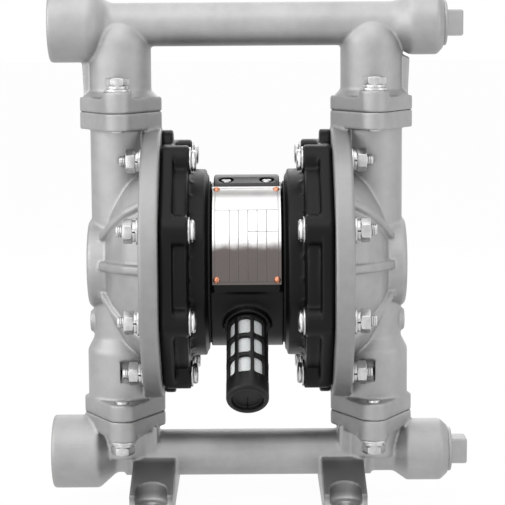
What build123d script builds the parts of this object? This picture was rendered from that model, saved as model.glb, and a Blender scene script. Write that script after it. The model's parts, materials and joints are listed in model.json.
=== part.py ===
from build123d import *
import math
import os

# An air operated double diaphragm pump, 1 inch ports, in cast stainless steel with black
# air-side castings. Millimetres. X runs along the diaphragm shaft, -Y is the front, Z is up.
# The origin is on the floor, under the middle of the pump.

# Layout
shaft_height = 200.0
outlet_height = 393.6
inlet_height = 40.3
inlet_port_height = 42.2
outlet_joint = 324.0
inlet_joint = 76.0
neck_x = 101.6
outlet_left_end = 158.0
outlet_right_end = 159.3
inlet_left_end = 161.2
inlet_right_end = 165.0

# Manifold pipes and ports, G1 threads
pipe_radius = 17.6
inlet_pipe_radius = 18.4
pipe_bore = 13.0
thread_bore = 15.15
thread_depth = 20.0
port_boss_radius = 30.2
plug_boss_radius = 25.4
outlet_neck_radius = 25.0
inlet_neck_radius = 25.0

# Joint flanges with two bolts each
flange_half_width = 33.2
flange_corner_radius = 7.0
flange_bolt_y = 36.0
flange_boss_radius = 12.0
manifold_flange = 11.5
flange_boss_height = 17.0
chamber_flange = 14.0

# Check valves
ball_radius = 15.9
ball_lift = 10.0
ball_gap = 0.3
seat_radius = 20.0
seat_bore = 11.5
seat_height = 10.0
seat_sunk = 6.0
cage_clearance = 0.5
o_ring_radius = 1.35
o_ring_circle = 23.2

# Chambers and covers, turned about the shaft axis
joint_x = 68.2
disc_radius = 110.0
disc_thickness = 15.0
bolt_circle = 93.0
bolt_count = 8
dome_base_radius = 80.5
end_boss_radius = 37.0
end_boss_x = 129.0
dome_top_x = 113.5
upper_neck_radius = 25.0
valve_chest_radius = 29.8
lower_neck_radius = 24.5
rib_thickness = 7.0
rib_angles = (50.0, 87.0, 128.0, 232.0, 273.0, 310.0)
cover_groove_x = 65.8
cover_rim_x = 57.6
cover_face_x = 45.2
cover_drum_radius = 93.0
cover_lobe_radius = 12.3
cover_lug_radius = 12.0
cover_lug_circle = 96.5
cover_rib_count = 27
cover_rib_start = 2.9
hub_radius = 76.2
hub_step_radius = 71.5
hub_step_x = 32.4

# Diaphragms and the shaft that joins them
bead_radius = 86.0
bead_inner_radius = 80.0
bead_half_thickness = 3.0
cavity_radius = 79.0
web_thickness = 3.5
dish = 8.0
plate_radius = 36.0
plate_thickness = 8.0
shaft_radius = 10.0
stud_radius = 6.0
stroke = 10.0
running_clearance = 0.04

# Centre block
block_half_width = 29.2
gasket_thickness = 1.4
block_radius = 68.5
housing_radius = 71.5
housing_half_width = 26.4
cover_plane = 64.3
cover_gasket = 1.0
plate_width = 54.0
plate_gauge = 0.8
plate_low_angle = -7.0
plate_high_angle = 63.5
housing_low_angle = -13.0

# Air valve and pilot rod
sleeve_z = 44.0
sleeve_radius = 14.0
spool_radius = 9.0
spool_half_length = 13.0
spool_travel = 12.0
pilot_radius = 4.0
pilot_y = 24.0
pilot_ratio = 0.4

# Muffler, pointing forward and down from the block
muffler_angle = 38.0
muffler_radius = 16.5
muffler_start = 71.0
muffler_end = 149.0
muffler_wall = 3.0
window_rows = 3
window_columns = 8
window_pitch = 19.7
window_length = 16.6
window_width = 9.8
window_first = 4.2
muffler_stub_radius = 11.0
window_turn = 9.0

# Feet, with a slot open to the front or rear at each end
foot_x = 77.3
foot_width = 34.4
foot_reach = 78.0
foot_end_height = 24.0
foot_slot_y = 69.0
foot_slot_radius = 6.0
foot_recess_radius = 12.5
foot_ledge = 15.0

# Air inlet, G1/2
inlet_thread_bore = 9.32
inlet_thread_depth = 16.0

# Small fittings
plug_square = 21.0
plug_collar = 2.6
plug_head = 13.0
bush_radius = 13.5
bush_length = 16.0
pilot_half_length = 59.9
cap_length = 5.0
spool_stop = 19.2
spool_left = -19.0
cover_screw_circle = 57.0
cover_screw_angles = (30.0, 90.0, 150.0, 210.0, 270.0, 330.0)
cover_screw_radius = 3.0
cover_screw_seat = 42.0
rivet_radius = 2.8
rivet_height = 1.7
rivet_shank_radius = 1.3
valve_screw_radius = 2.5
valve_screw_floor = 2.3

# M10 fasteners of the chambers and flanges
bolt_radius = 5.0
bolt_hole_radius = 5.5
nut_flats = 17.0
nut_height = 8.0
head_height = 6.4
flat_washer = 2.0
spring_washer = 2.6
spot_face_radius = 11.2

sides = {"left": -1, "right": 1}
upright = (Align.CENTER, Align.CENTER, Align.MIN)


def rod(radius, length, at, along):
    """A cylinder that starts at a point and runs along a direction."""
    return Plane(origin=at, z_dir=along) * Cylinder(radius, length, align=upright)


def ring(outer, inner, length, at, along):
    """A flat ring or tube that starts at a point and runs along a direction."""
    return rod(outer, length, at, along) - rod(inner, length, at, along)


def hexagon(flats, length, at, along):
    """A hexagonal prism with its corners turned off, as on a nut or bolt head."""
    prism = extrude(RegularPolygon(flats / 2, 6, major_radius=False), length)
    corner = flats / math.sqrt(3)
    turned = Cylinder(corner, length, align=upright)
    turned = chamfer(turned.edges().filter_by(GeomType.CIRCLE), 0.9, 1.6)
    return Plane(origin=at, z_dir=along) * (prism & turned)


def rounded(corners):
    """A flat face from corners (x, y, fillet radius)."""
    face = Polygon(*[(x, y) for x, y, radius in corners], align=None)
    for x, y, radius in corners:
        if radius:
            face = fillet(face.vertices().sort_by_distance((x, y))[0], radius)
    return face


def turned_on_x(corners, height):
    """A solid turned about a line along X at a height, from corners (x, radius, fillet)."""
    return Pos(0, 0, height) * revolve(rounded(corners), Axis.X)


def around_shaft(radius, angle):
    """The y and z of a point on a circle about the shaft, its angle measured from the top."""
    turn = math.radians(angle)
    return -radius * math.sin(turn), shaft_height + radius * math.cos(turn)


def bolt_angles():
    return [360 / bolt_count * (i + 0.5) for i in range(bolt_count)]


def mirrored(shape, side):
    """Pieces are drawn for the right side, and the left ones are their mirror image."""
    return shape if side > 0 else mirror(shape, about=Plane.YZ)


def flange_outline():
    """The two-bolt flange: four straight sides around two bolt bosses and two corners."""
    bosses = [Pos(0, y) * Circle(flange_boss_radius) for y in (-flange_bolt_y, flange_bolt_y)]
    inset = flange_half_width - flange_corner_radius
    corners = [Pos(x, 0) * Circle(flange_corner_radius) for x in (-inset, inset)]
    edges = [edge for circle in bosses + corners for edge in circle.edges()]
    return make_hull(edges)


def flange_plate(x, low, high):
    return Pos(x, 0, low) * extrude(flange_outline(), high - low)


def flange_bolt_places():
    return [(side * neck_x, y) for side in sides.values() for y in (-flange_bolt_y, flange_bolt_y)]


def ball_rest(seat_top):
    """The height of a ball's centre when it rests on its seat."""
    return seat_top + math.sqrt((ball_radius + ball_gap) ** 2 - 15.0**2)


def ball_path(x, rest):
    """The space that a ball sweeps, with its clearance."""
    radius = ball_radius + cage_clearance
    path = rod(radius, ball_lift, (x, 0, rest), (0, 0, 1))
    return path + Pos(x, 0, rest) * Sphere(radius) + Pos(x, 0, rest + ball_lift) * Sphere(radius)


def guide_ribs(x, seat_top, bore):
    """Four ribs that guide a ball and stop its lift, open between them for the fluid."""
    low = seat_top + 2
    high = ball_rest(seat_top) + ball_lift + 13
    height = high - low
    middle = Pos(x, 0, low + height / 2)
    plates = middle * Box(2 * bore, 3, height) + middle * Box(3, 2 * bore, height)
    ribs = plates & rod(bore + 1, height, (x, 0, low), (0, 0, 1))
    return ribs - ball_path(x, ball_rest(seat_top))


def seat_groove(x, joint, up):
    """An O-ring groove in a joint face."""
    depth = 2 * o_ring_radius
    low = joint if up > 0 else joint - depth
    outer = o_ring_circle + o_ring_radius
    return ring(outer, outer - depth, depth, (x, 0, low), (0, 0, 1))


# Manifolds


def outlet_body():
    """The upper casting without its bores: pipe, bosses, necks, flanges and webs."""
    pipe = turned_on_x(
        [
            (-outlet_left_end, 0, 0),
            (-outlet_left_end, port_boss_radius, 2.5),
            (-122, port_boss_radius, 14),
            (-110, pipe_radius, 9),
            (120, pipe_radius, 12),
            (132, plug_boss_radius, 10),
            (outlet_right_end - 5, plug_boss_radius, 3),
            (outlet_right_end, 20, 1.5),
            (outlet_right_end, 0, 0),
        ],
        outlet_height,
    )
    body = pipe
    dome_height = outlet_height - 17
    for side in sides.values():
        x = side * neck_x
        neck = rod(outlet_neck_radius, dome_height - outlet_joint, (x, 0, outlet_joint), (0, 0, 1))
        neck += Pos(x, 0, dome_height) * Sphere(outlet_neck_radius)
        body += neck
        web_edge = [(x, outlet_joint + 5), (side * 130.6, outlet_joint + 5), (side * 132.2, 366), (x, 380)]
        body += extrude(Plane.XZ * make_face(Polyline(*web_edge, close=True)), 6.5, both=True)
        plate_top = outlet_joint + manifold_flange
        skirt = Pos(x, 0, plate_top) * Cone(30, outlet_neck_radius, 5.5, align=upright)
        body += flange_plate(x, outlet_joint, plate_top) + skirt
        for y in (-flange_bolt_y, flange_bolt_y):
            body += rod(flange_boss_radius, flange_boss_height, (x, y, outlet_joint), (0, 0, 1))
    return body


def port_ends(level):
    """The x of a manifold's left and right ends, and the height of its ports' axis."""
    if level == "outlet":
        return -outlet_left_end, outlet_right_end, outlet_height
    return -inlet_left_end, inlet_right_end, inlet_port_height


def port_thread_bores(level):
    left, right, height = port_ends(level)
    bore = rod(thread_bore, thread_depth, (left, 0, height), (1, 0, 0))
    return bore + rod(thread_bore, thread_depth, (right, 0, height), (-1, 0, 0))


def outlet_manifold():
    body = outlet_body()
    length = outlet_left_end + outlet_right_end
    body -= rod(pipe_bore, length, (-outlet_left_end, 0, outlet_height), (1, 0, 0))
    body -= port_thread_bores("outlet")
    seat_top = outlet_joint + seat_height - seat_sunk
    for side in sides.values():
        x = side * neck_x
        body -= rod(seat_radius, outlet_height - 17 - outlet_joint, (x, 0, outlet_joint), (0, 0, 1))
        body -= Pos(x, 0, outlet_height - 17) * Sphere(seat_radius)
        body += guide_ribs(x, seat_top, seat_radius)
        body -= seat_groove(x, outlet_joint, 1)
    for x, y in flange_bolt_places():
        body -= rod(bolt_hole_radius, 30, (x, y, outlet_joint - 1), (0, 0, 1))
    return body


def foot(x):
    """A foot bar along the depth, sloped at both ends, with an open slot in each end."""
    half_width = foot_width / 2
    outline = [
        (-foot_reach, 0),
        (foot_reach, 0),
        (foot_reach, foot_end_height),
        (pipe_radius, inlet_height),
        (-pipe_radius, inlet_height),
        (-foot_reach, foot_end_height),
    ]
    side_view = Plane.YZ * make_face(Polyline(*outline, close=True))
    bar = Pos(x, 0, 0) * extrude(side_view, half_width, both=True)
    bar = fillet(bar.edges().filter_by(Axis.Z), 2)
    for end in (-1, 1):
        for radius, low in ((foot_slot_radius, -1), (foot_recess_radius, foot_ledge)):
            y = end * foot_slot_y
            bar -= rod(radius, 60, (x, y, low), (0, 0, 1))
            open_end = Pos(x, y + end * foot_reach / 2, low + 30)
            bar -= open_end * Box(2 * radius, foot_reach, 60)
    return bar


def inlet_body():
    """The lower casting without its bores: pipe, bosses, necks, flanges and feet."""
    bosses = [
        (-inlet_left_end, 0, 0),
        (-inlet_left_end, port_boss_radius, 2.5),
        (-123, port_boss_radius, 6),
        (-109, pipe_radius, 6),
        (120, pipe_radius, 6),
        (131, plug_boss_radius, 4),
        (inlet_right_end - 6.5, plug_boss_radius, 3),
        (inlet_right_end, 19.5, 1.5),
        (inlet_right_end, 0, 0),
    ]
    body = turned_on_x(bosses, inlet_port_height)
    body += rod(inlet_pipe_radius, 2 * neck_x, (-neck_x, 0, inlet_height), (1, 0, 0))
    plate_bottom = inlet_joint - manifold_flange
    for side in sides.values():
        x = side * neck_x
        body += rod(inlet_neck_radius, inlet_joint - inlet_height, (x, 0, inlet_height), (0, 0, 1))
        body += flange_plate(x, plate_bottom, inlet_joint)
        pedestal = Pos(side * 84, 0, 45) * Box(20, 36, 42)
        body += fillet(pedestal.edges().filter_by(Axis.Z), 3)
        body += foot(side * foot_x)
        for y in (-flange_bolt_y, flange_bolt_y):
            low = inlet_joint - flange_boss_height
            boss = rod(flange_boss_radius, flange_boss_height, (x, y, low), (0, 0, 1))
            body += boss
        body += flange_gussets(x)
    return body


def flange_gussets(x):
    """Webs under the lower flange that slope from its corners down to the bolt bosses."""
    outline = [
        (-26, inlet_joint - manifold_flange),
        (26, inlet_joint - manifold_flange),
        (9, inlet_joint - flange_boss_height + 1),
        (-9, inlet_joint - flange_boss_height + 1),
    ]
    wedge = extrude(Plane.XZ * make_face(Polyline(*outline, close=True)), flange_bolt_y, both=True)
    plan = flange_plate(0, inlet_height, inlet_joint)
    return Pos(x, 0, 0) * (wedge & plan)


def inlet_manifold():
    body = inlet_body()
    length = inlet_left_end + inlet_right_end
    body -= rod(pipe_bore, length, (-inlet_left_end, 0, inlet_height), (1, 0, 0))
    body -= port_thread_bores("inlet")
    for side in sides.values():
        x = side * neck_x
        body -= rod(pipe_bore, inlet_joint - inlet_height, (x, 0, inlet_height), (0, 0, 1))
        body -= rod(seat_radius, seat_sunk, (x, 0, inlet_joint - seat_sunk), (0, 0, 1))
        body -= seat_groove(x, inlet_joint, -1)
    for x, y in flange_bolt_places():
        body -= rod(bolt_hole_radius, 30, (x, y, inlet_joint - 29), (0, 0, 1))
    return body


def port_plug(level):
    """A threaded plug with a thin collar and a square head."""
    left, right, height = port_ends(level)
    plug = rod(thread_bore, thread_depth - 2, (right, 0, height), (-1, 0, 0))
    collar = rod(18.2, plug_collar, (right, 0, height), (1, 0, 0))
    plug += fillet(collar.edges().sort_by(Axis.X)[-1], 1.2)
    middle = right + plug_collar + plug_head / 2
    head = Pos(middle, 0, height) * Box(plug_head, plug_square, plug_square)
    head = fillet(head.edges().filter_by(Axis.X), 2)
    head = chamfer(head.faces().sort_by(Axis.X)[-1].edges(), 1.2)
    return plug + head


# Check valves


def valve_seat(x, low):
    """A seat ring with a spherical pocket for its ball."""
    top = low + seat_height
    seat = ring(seat_radius, seat_bore, seat_height, (x, 0, low), (0, 0, 1))
    seat -= Pos(x, 0, ball_rest(top)) * Sphere(ball_radius + ball_gap)
    return chamfer(seat.edges().group_by(Axis.Z)[0].sort_by(SortBy.LENGTH)[0], 1)


def seat_low(level):
    """The height of a seat's underside: it stands in a recess below its joint face."""
    return {"outlet": outlet_joint, "inlet": inlet_joint}[level] - seat_sunk


def valve_ball(x, level):
    return Pos(x, 0, ball_rest(seat_low(level) + seat_height)) * Sphere(ball_radius)


def seat_o_rings(level):
    """The two O-rings of one manifold, in the grooves of its joint faces."""
    joint = {"outlet": outlet_joint + o_ring_radius, "inlet": inlet_joint - o_ring_radius}[level]
    return [Pos(side * neck_x, 0, joint) * Torus(o_ring_circle, o_ring_radius) for side in sides.values()]


# Fluid chambers


def chamber_dome():
    """The cast dome with its clamping disc and end boss, turned about the shaft axis."""
    return turned_on_x(
        [
            (joint_x, 0, 0),
            (joint_x, disc_radius, 1),
            (joint_x + disc_thickness, disc_radius, 2),
            (joint_x + disc_thickness, dome_base_radius, 2),
            (96.5, 69.5, 25),
            (107, 53, 20),
            (dome_top_x, end_boss_radius, 3),
            (end_boss_x, end_boss_radius - 1, 4),
            (end_boss_x, 0, 0),
        ],
        shaft_height,
    )


def chamber_rib(angle):
    """A radial rib from the clamping disc over the dome to the end boss."""
    corners = [
        (joint_x + 5, 60, 0),
        (joint_x + disc_thickness, dome_base_radius + 7, 0),
        (97.5, 75, 20),
        (109, 58, 20),
        (end_boss_x - 11, end_boss_radius + 3, 0),
        (end_boss_x - 11, 20, 0),
    ]
    rib = extrude(Plane.XZ * rounded(corners), rib_thickness / 2, both=True)
    flanks = rib.edges().filter_by(lambda edge: abs(edge.center().Y) > 1)
    rib = fillet(flanks.filter_by(lambda edge: edge.center().X + edge.center().Z > 155), 2)
    return Pos(0, 0, shaft_height) * Rot(angle, 0, 0) * rib


def chamber_body():
    """The right fluid chamber's outside: dome, ribs, necks and joint flanges."""
    body = chamber_dome()
    for angle in rib_angles:
        body += chamber_rib(angle)
    upper_foot = shaft_height + 30
    upper = rod(upper_neck_radius, outlet_joint - upper_foot - 2, (neck_x, 0, upper_foot), (0, 0, 1))
    chest = revolve(
        rounded(
            [
                (0, inlet_joint + 2, 0),
                (valve_chest_radius, inlet_joint + 2, 0),
                (valve_chest_radius, 129, 9),
                (lower_neck_radius, 139, 7),
                (lower_neck_radius, shaft_height - 20, 0),
                (0, shaft_height - 20, 0),
            ]
        ).rotate(Axis.X, 90),
        Axis.Z,
    )
    body += upper + Pos(neck_x, 0, 0) * chest
    body += flange_plate(neck_x, outlet_joint - chamber_flange, outlet_joint)
    body += flange_plate(neck_x, inlet_joint, inlet_joint + chamber_flange)
    cast_boss = rod(9, 27.3, (neck_x, 0, 152), (1, 0, 0))
    return body + fillet(cast_boss.edges().sort_by(Axis.X)[-1], 1.5)


def fluid_chamber(side):
    body = chamber_body()
    cavity = turned_on_x(
        [
            (joint_x, 0, 0),
            (joint_x, cavity_radius, 0),
            (joint_x + 6, cavity_radius, 8),
            (joint_x + 34, 43, 6),
            (joint_x + 34, 0, 0),
        ],
        shaft_height,
    )
    body -= cavity + bead_groove(joint_x, 1)
    passage = 15.0
    body -= rod(passage, outlet_joint - 241, (neck_x, 0, 241), (0, 0, 1))
    body -= rod(seat_radius, seat_sunk, (neck_x, 0, outlet_joint - seat_sunk), (0, 0, 1))
    body -= rod(passage, 50, (neck_x, 0, 108), (0, 0, 1))
    chest_bore = valve_chest_radius - 5.5
    body -= rod(seat_radius, 5, (neck_x, 0, inlet_joint), (0, 0, 1))
    body -= rod(chest_bore, 36, (neck_x, 0, inlet_joint + 4), (0, 0, 1))
    body += guide_ribs(neck_x, inlet_joint + seat_height - seat_sunk, chest_bore)
    for angle in bolt_angles():
        y, z = around_shaft(bolt_circle, angle)
        body -= rod(bolt_hole_radius, 40, (joint_x - 5, y, z), (1, 0, 0))
        body -= rod(spot_face_radius, 20, (joint_x + disc_thickness, y, z), (1, 0, 0))
    for y in (-flange_bolt_y, flange_bolt_y):
        for joint in (outlet_joint, inlet_joint):
            body -= rod(bolt_radius, 44, (neck_x, y, joint - 22), (0, 0, 1))
    return mirrored(body, side)


def bead_groove(x, outward):
    """Half of the groove that holds the diaphragm's bead, on one side of the joint."""
    start = x if outward > 0 else x - bead_half_thickness
    at = (start, 0, shaft_height)
    return ring(bead_radius, bead_inner_radius - 2, bead_half_thickness, at, (1, 0, 0))


# Air covers


def cover_plate(lobe_radius, start, end):
    """A plate across the shaft, with eight straight sides between rounded corners."""
    lobes = []
    for angle in bolt_angles():
        y, z = around_shaft(bolt_circle, angle)
        lobes.append(Pos(y, z) * Circle(lobe_radius))
    outline = make_hull([edge for circle in lobes for edge in circle.edges()])
    return extrude(Plane.YZ.offset(start) * outline, end - start)


def cover_rim():
    """The clamping rim, with a lug at the top and the bottom and a shadow groove."""
    rim = cover_plate(cover_lobe_radius, cover_rim_x, cover_groove_x)
    rim = fillet(rim.edges().group_by(Axis.X)[0], 1)
    for up in (-1, 1):
        at = (cover_rim_x + 1.5, 0, shaft_height + up * cover_lug_circle)
        lug = rod(cover_lug_radius, joint_x - cover_rim_x - 1.5, at, (1, 0, 0))
        rim += fillet(lug.edges().sort_by(Axis.X)[0], 0.8)
    return rim + cover_plate(cover_lobe_radius - 2, cover_groove_x, joint_x)


def cover_ribs():
    """Small three-cornered ribs in the corner between the hub and the cover's face."""
    face = cover_face_x + 2
    corners = [(face, hub_radius - 1), (face, hub_radius + 4), (face - 6, hub_radius - 1)]
    rib = extrude(Plane.XZ * make_face(Polyline(*corners, close=True)), 1.2, both=True)
    turns = [90 + cover_rib_start + 360 / cover_rib_count * i for i in range(cover_rib_count)]
    return [Pos(0, 0, shaft_height) * Rot(turn, 0, 0) * rib for turn in turns]


def air_cover(side):
    """The black inner cover: rim, bolt lobes with pockets between, and stepped hub."""
    gasket_x = block_half_width + gasket_thickness
    body = turned_on_x(
        [
            (gasket_x, 0, 0),
            (gasket_x, hub_step_radius, 0.8),
            (hub_step_x, hub_step_radius, 0),
            (hub_step_x, hub_radius, 1.2),
            (cover_face_x + 1, hub_radius, 2),
            (cover_face_x + 1, cover_drum_radius, 2),
            (joint_x, cover_drum_radius, 0),
            (joint_x, 0, 0),
        ],
        shaft_height,
    )
    body += cover_rim()
    for rib in cover_ribs():
        body += rib
    lobe_depth = cover_rim_x + 2 - cover_face_x
    for angle in bolt_angles():
        y, z = around_shaft(bolt_circle, angle)
        lobe = rod(cover_lobe_radius, lobe_depth, (cover_face_x, y, z), (1, 0, 0))
        body += fillet(lobe.edges().sort_by(Axis.X)[0], 1)
    cavity = turned_on_x(
        [
            (joint_x - 16, 0, 0),
            (joint_x - 16, 42, 4),
            (joint_x - 6, cavity_radius - 3, 4),
            (joint_x - 6, cavity_radius, 0),
            (joint_x, cavity_radius, 0),
            (joint_x, 0, 0),
        ],
        shaft_height,
    )
    body -= cavity + bead_groove(joint_x, -1)
    body -= rod(shaft_radius + 1.5, 60, (gasket_x - 1, 0, shaft_height), (1, 0, 0))
    body -= rod(pilot_radius + 1.5, 60, (gasket_x - 1, pilot_y, shaft_height), (1, 0, 0))
    for angle in bolt_angles():
        y, z = around_shaft(bolt_circle, angle)
        body -= rod(bolt_hole_radius, 60, (cover_face_x - 5, y, z), (1, 0, 0))
    for angle in cover_screw_angles:
        y, z = around_shaft(cover_screw_circle, angle)
        body -= rod(cover_screw_radius + 0.3, 60, (gasket_x - 1, y, z), (1, 0, 0))
        body -= rod(6.5, 30, (cover_screw_seat, y, z), (1, 0, 0))
    return mirrored(body, side)


def block_gasket(side):
    """The gasket between an air cover and the centre block."""
    at = (block_half_width, 0, shaft_height)
    gasket = ring(block_radius - 2.5, shaft_radius + 6, gasket_thickness, at, (1, 0, 0))
    gasket -= rod(pilot_radius + 2, 10, (block_half_width - 1, pilot_y, shaft_height), (1, 0, 0))
    for angle in cover_screw_angles:
        y, z = around_shaft(cover_screw_circle, angle)
        gasket -= rod(cover_screw_radius + 0.3, 10, (block_half_width - 1, y, z), (1, 0, 0))
    return mirrored(gasket, side)


def cover_screws(side):
    """Socket screws that hold an air cover to the block, under the diaphragm."""
    screws = []
    for angle in cover_screw_angles:
        y, z = around_shaft(cover_screw_circle, angle)
        shank = rod(cover_screw_radius, 26, (cover_screw_seat - 26, y, z), (1, 0, 0))
        head = rod(5, 6, (cover_screw_seat, y, z), (1, 0, 0))
        head -= Pos(cover_screw_seat + 6, y, z) * Rot(0, 90, 0) * extrude(
            RegularPolygon(2.5, 6, major_radius=False), 3, both=True
        )
        screws.append(mirrored(shank + head, side))
    return screws


# Diaphragms and shaft


def diaphragm(side):
    """A dished rubber diaphragm with a clamped bead and a curved web."""
    hub_x = joint_x + dish
    half = web_thickness / 2
    with BuildSketch() as section:
        with BuildLine():
            Polyline((hub_x - 2, stud_radius + 0.3), (hub_x + 2, stud_radius + 0.3), (hub_x + 2, 42))
            Spline(
                (hub_x + 2, 42),
                (joint_x + half, cavity_radius - 1),
                tangents=((0, 1), (0, 1)),
            )
            Polyline(
                (joint_x + half, cavity_radius - 1),
                (joint_x + half, bead_inner_radius),
                (joint_x + bead_half_thickness, bead_inner_radius),
                (joint_x + bead_half_thickness, bead_radius),
                (joint_x - bead_half_thickness, bead_radius),
                (joint_x - bead_half_thickness, bead_inner_radius),
                (joint_x - half, bead_inner_radius),
                (joint_x - half, cavity_radius - 1),
            )
            Spline(
                (joint_x - half, cavity_radius - 1),
                (hub_x - 2, 42),
                tangents=((0, -1), (0, -1)),
            )
            Line((hub_x - 2, 42), (hub_x - 2, stud_radius + 0.3))
        make_face()
    body = Pos(0, 0, shaft_height) * revolve(section.sketch, Axis.X)
    return mirrored(body, side)


def backing_plate(side, outer):
    """A plate that clamps the diaphragm's middle: the outer one is domed and closed."""
    hub_x = joint_x + dish
    if outer:
        corners = [
            (hub_x + 2, 0, 0),
            (hub_x + 2, plate_radius, 1.2),
            (hub_x + 6, plate_radius, 2.5),
            (hub_x + 2 + plate_thickness + 2, 16, 6),
            (hub_x + 2 + plate_thickness + 2, 0, 0),
        ]
    else:
        corners = [
            (hub_x - 2, 0, 0),
            (hub_x - 2, plate_radius - 1, 1.2),
            (hub_x - 2 - plate_thickness, plate_radius - 4, 2.5),
            (hub_x - 2 - plate_thickness, 0, 0),
        ]
    plate = turned_on_x(corners, shaft_height)
    plate -= rod(stud_radius, 20, (hub_x - 12, 0, shaft_height), (1, 0, 0))
    return mirrored(plate, side)


def diaphragm_shaft():
    """The shaft with a threaded stud at each end for the backing plates."""
    hub_x = joint_x + dish
    shoulder = hub_x - 2 - plate_thickness
    stud_end = hub_x + 8
    return turned_on_x(
        [
            (-stud_end, 0, 0),
            (-stud_end, stud_radius, 0.8),
            (-shoulder, stud_radius, 0),
            (-shoulder, shaft_radius, 1),
            (shoulder, shaft_radius, 1),
            (shoulder, stud_radius, 0),
            (stud_end, stud_radius, 0.8),
            (stud_end, 0, 0),
        ],
        shaft_height,
    )


def shaft_bushes():
    bore = shaft_radius + running_clearance
    bushes = []
    for side in sides.values():
        start = (side * (block_half_width - bush_length), 0, shaft_height)
        bushes.append(ring(bush_radius, bore, bush_length, start, (side, 0, 0)))
    return bushes


def shaft_seals():
    """Two O-rings around the shaft, each in a groove beside its bush."""
    x = block_half_width - bush_length - 1.5
    radius = 1.5
    circle = shaft_radius + running_clearance + radius
    return [Pos(s * x, 0, shaft_height) * Rot(0, 90, 0) * Torus(circle, radius) for s in sides.values()]


def pilot_rod():
    """The rod that the backing plates push near each end of the stroke."""
    body = rod(pilot_radius, 2 * pilot_half_length, (-pilot_half_length, pilot_y, shaft_height), (1, 0, 0))
    body = chamfer(body.edges().filter_by(GeomType.CIRCLE), 0.6)
    for x in (-6, 6):
        groove = ring(pilot_radius + 1, pilot_radius - 1, 3, (x - 1.5, pilot_y, shaft_height), (1, 0, 0))
        body -= groove
    return body


def pilot_bushes():
    bore = pilot_radius + running_clearance
    bushes = []
    for side in sides.values():
        start = (side * (block_half_width - 12), pilot_y, shaft_height)
        bushes.append(ring(pilot_radius + 2, bore, 12, start, (side, 0, 0)))
    return bushes


# Air valve


def valve_sleeve():
    """The ported sleeve that the spool slides in."""
    z = shaft_height + sleeve_z
    half = block_half_width - cap_length
    at = (-half, 0, z)
    sleeve = ring(sleeve_radius, spool_radius + running_clearance, 2 * half, at, (1, 0, 0))
    for x in (-10, 0, 10):
        for angle in (-90, 0, 90):
            turn = math.radians(angle)
            along = (0, math.sin(turn), -math.cos(turn))
            sleeve -= rod(2, 20, (x, 0, z), along)
    return sleeve


def valve_spool():
    """The spool, resting at its left stop, with two waists between three lands."""
    z = shaft_height + sleeve_z
    left = spool_left
    length = 2 * spool_half_length
    spool = rod(spool_radius, length, (left, 0, z), (1, 0, 0))
    for x in (left + 7, left + 16):
        spool -= ring(spool_radius + 1, spool_radius - 3, 3, (x, 0, z), (1, 0, 0))
    for x in (left + 2.5, left + length - 4.5):
        spool -= ring(spool_radius + 1, spool_radius - 2, 2, (x, 0, z), (1, 0, 0))
    return spool


def spool_seals():
    """Square rings in the spool's end grooves."""
    z = shaft_height + sleeve_z
    starts = (spool_left + 2.5, spool_left + 2 * spool_half_length - 4.5)
    return [ring(spool_radius - 0.02, spool_radius - 2, 2, (x, 0, z), (1, 0, 0)) for x in starts]


def valve_end_caps():
    """Caps that close both ends of the sleeve's bore, each with a stop pin inside."""
    z = shaft_height + sleeve_z
    caps = []
    for side in sides.values():
        cap = rod(sleeve_radius, cap_length, (side * block_half_width, 0, z), (-side, 0, 0))
        stop_length = block_half_width - cap_length - spool_stop
        stop = rod(4, stop_length, (side * (block_half_width - cap_length), 0, z), (-side, 0, 0))
        caps.append(cap + stop)
    return caps


# Centre block


def block_segment(radius, low, high, half_width):
    """A wedge of a cylinder about the shaft, between two heights of angle above the front."""
    angles = [math.radians(low + (high - low) * i / 6) for i in range(7)]
    reach = radius * 1.2
    points = [(0, 0)] + [(-reach * math.cos(a), reach * math.sin(a)) for a in angles]
    wedge = extrude(Plane.YZ * make_face(Polyline(*points, close=True)), half_width, both=True)
    at = (-half_width, 0, 0)
    return wedge & rod(radius, 2 * half_width, at, (1, 0, 0))


def muffler_direction():
    turn = math.radians(muffler_angle)
    return (0, -math.cos(turn), -math.sin(turn))


def muffler_point(distance):
    """A point on the muffler's axis, at a distance from the shaft axis."""
    x, y, z = muffler_direction()
    return (0, distance * y, shaft_height + distance * z)


def cover_section():
    """The top of the valve housing above the parting plane, as a cylinder segment."""
    segment = rod(housing_radius, 2 * housing_half_width, (-housing_half_width, 0, 0), (1, 0, 0))
    block = Pos(0, 0, cover_plane + 50) * Box(200, 200, 100)
    return segment & block


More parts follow.
